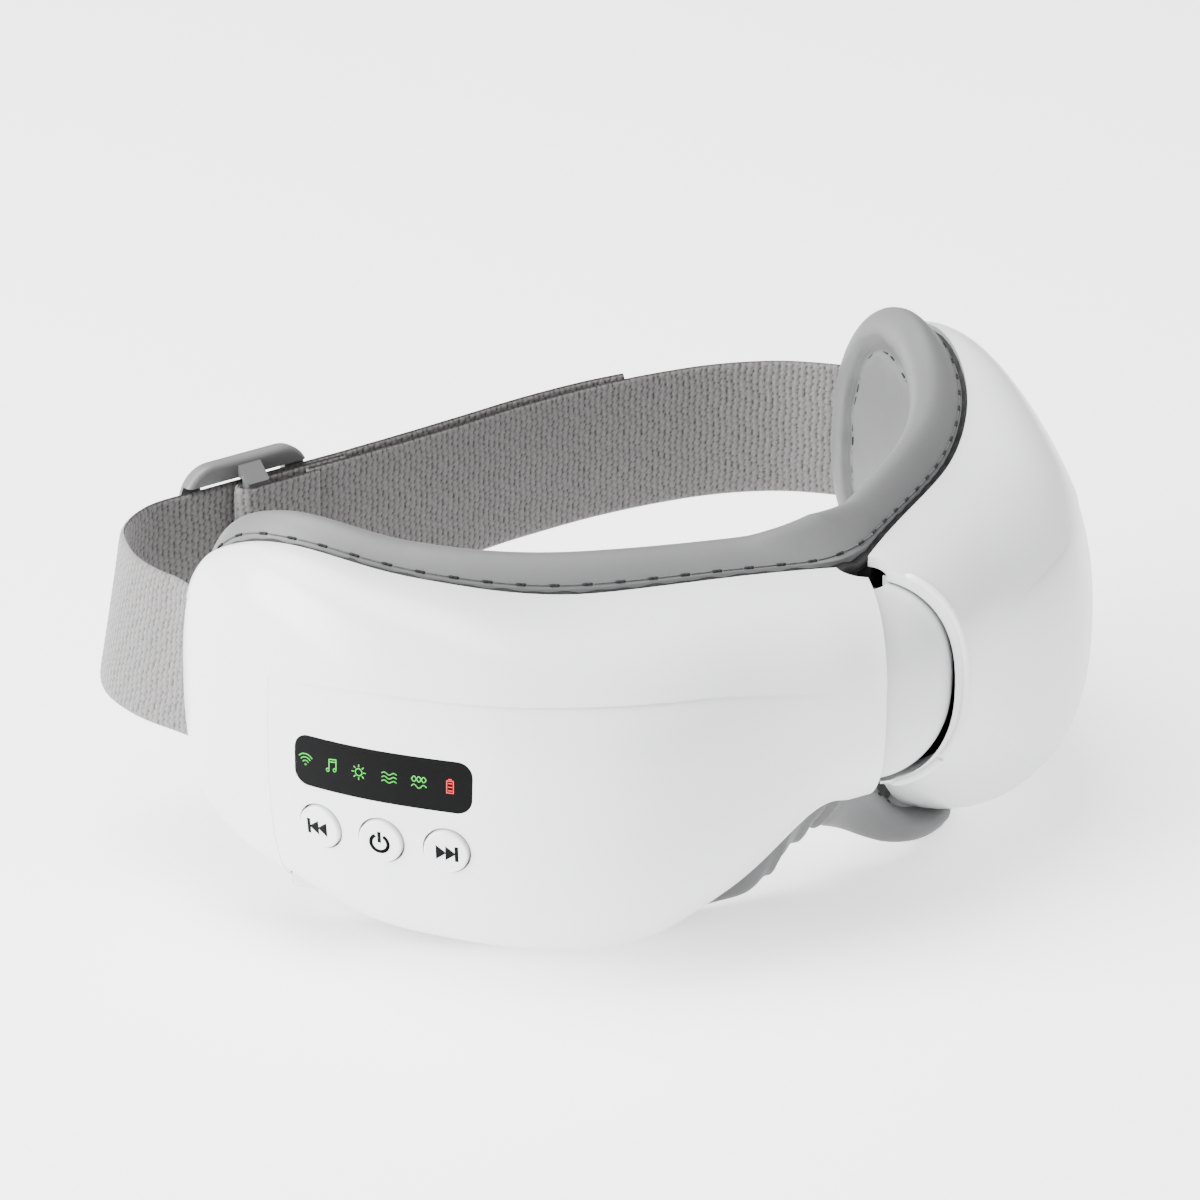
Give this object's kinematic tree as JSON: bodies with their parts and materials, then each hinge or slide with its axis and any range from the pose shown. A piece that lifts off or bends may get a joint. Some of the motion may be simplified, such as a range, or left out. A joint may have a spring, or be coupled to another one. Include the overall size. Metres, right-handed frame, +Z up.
{
  "type": "eye massager mask",
  "caption": "Foldable padded eye massager mask: two glossy curved halves on a centre hinge, lit display, press buttons, grey soft face pads and an elastic head strap with a slider.",
  "frame": {"origin": "centre of the bounding box in X and Y, on the resting plane in Z", "axes": "+X towards the half without the display, +Y towards the wearer's head and strap, +Z up as worn and as it stands"},
  "size_m": [0.1694, 0.1272, 0.0708],
  "materials": {
    "board": "solder mask green",
    "button_plastic": "white, polished",
    "cable_jacket": "bundle jacket",
    "cell_wrap": "foil pouch",
    "chip": "moulded black",
    "eye_leatherette": "smooth grey PU leatherette, thinner",
    "frame_plastic": "moulded, satin",
    "heater": "polyimide film",
    "lens": "smoked, polished",
    "light": "diffuser",
    "pad_leatherette": "smooth grey PU leatherette",
    "seam_fabric": "gathered cover fabric with stitching",
    "slider_plastic": "moulded grey, satin",
    "soft_bladder": "thin TPU",
    "steel": "plain",
    "webbing": "woven elastic webbing",
    "white_shell": "polished white ABS"
  },
  "bodies": {
    "left_half": {"air_pump": "chip", "air_valve": "frame_plastic", "battery": "cell_wrap", "board_chips": "chip", "bridge_pad": "pad_leatherette", "button_board": "board", "charging_port": "steel", "display_board": "board", "display_lens": "lens", "display_lights": "light", "hinge_cable": "cable_jacket", "hinge_drum": "white_shell", "hinge_pin": "steel", "left_air_bag": "soft_bladder", "left_back_frame": "frame_plastic", "left_cushion": "pad_leatherette", "left_eye_pad": "eye_leatherette", "left_frame_screws": "steel", "left_front_shell": "white_shell", "left_heater_film": "heater", "left_massage_nodes": "frame_plastic", "left_node_plate": "frame_plastic", "left_seam_strip": "seam_fabric", "left_speaker": "chip", "left_strap_bar": "steel", "left_vibration_motor": "steel", "light_guide": "frame_plastic", "main_board": "board", "strap_left": "webbing", "strap_tail": "webbing", "switches": "chip"},
    "right_half": {"right_air_bag": "soft_bladder", "right_back_frame": "frame_plastic", "right_cushion": "pad_leatherette", "right_eye_pad": "eye_leatherette", "right_frame_screws": "steel", "right_front_shell": "white_shell", "right_heater_film": "heater", "right_massage_nodes": "frame_plastic", "right_node_plate": "frame_plastic", "right_seam_strip": "seam_fabric", "right_speaker": "chip", "right_strap_bar": "steel", "right_vibration_motor": "steel", "strap_right": "webbing"},
    "previous_cap": {"button_previous": "button_plastic"},
    "power_cap": {"button_power": "button_plastic"},
    "next_cap": {"button_next": "button_plastic"},
    "slider": {"strap_slider": "slider_plastic", "strap_loop": "webbing"}
  },
  "joints": [
    {"name": "fold", "type": "hinge", "parent": "left_half", "child": "right_half", "pos_m": [0, -0.0482, 0.0415], "axis": [0, 0, 1], "range_deg": [-25, 40], "deforming": ["strap_right", "strap_tail", "bridge_pad", "hinge_cable"]},
    {"name": "previous_press", "type": "slide", "parent": "left_half", "child": "previous_cap", "axis": [0.9607, 0.2371, 0.1442], "range_m": [0, 0.0006], "stiffness_N_per_m": 350},
    {"name": "power_press", "type": "slide", "parent": "left_half", "child": "power_cap", "axis": [0.9059, 0.4051, 0.1231], "range_m": [0, 0.0006], "stiffness_N_per_m": 350},
    {"name": "next_press", "type": "slide", "parent": "left_half", "child": "next_cap", "axis": [0.8608, 0.496, 0.1142], "range_m": [0, 0.0006], "stiffness_N_per_m": 350},
    {"name": "strap_adjust", "type": "slide", "parent": "left_half", "child": "slider", "axis": [0.9973, -0.0732, 0], "range_m": [-0.008, 0.008], "deforming": ["strap_right"]}
  ]
}
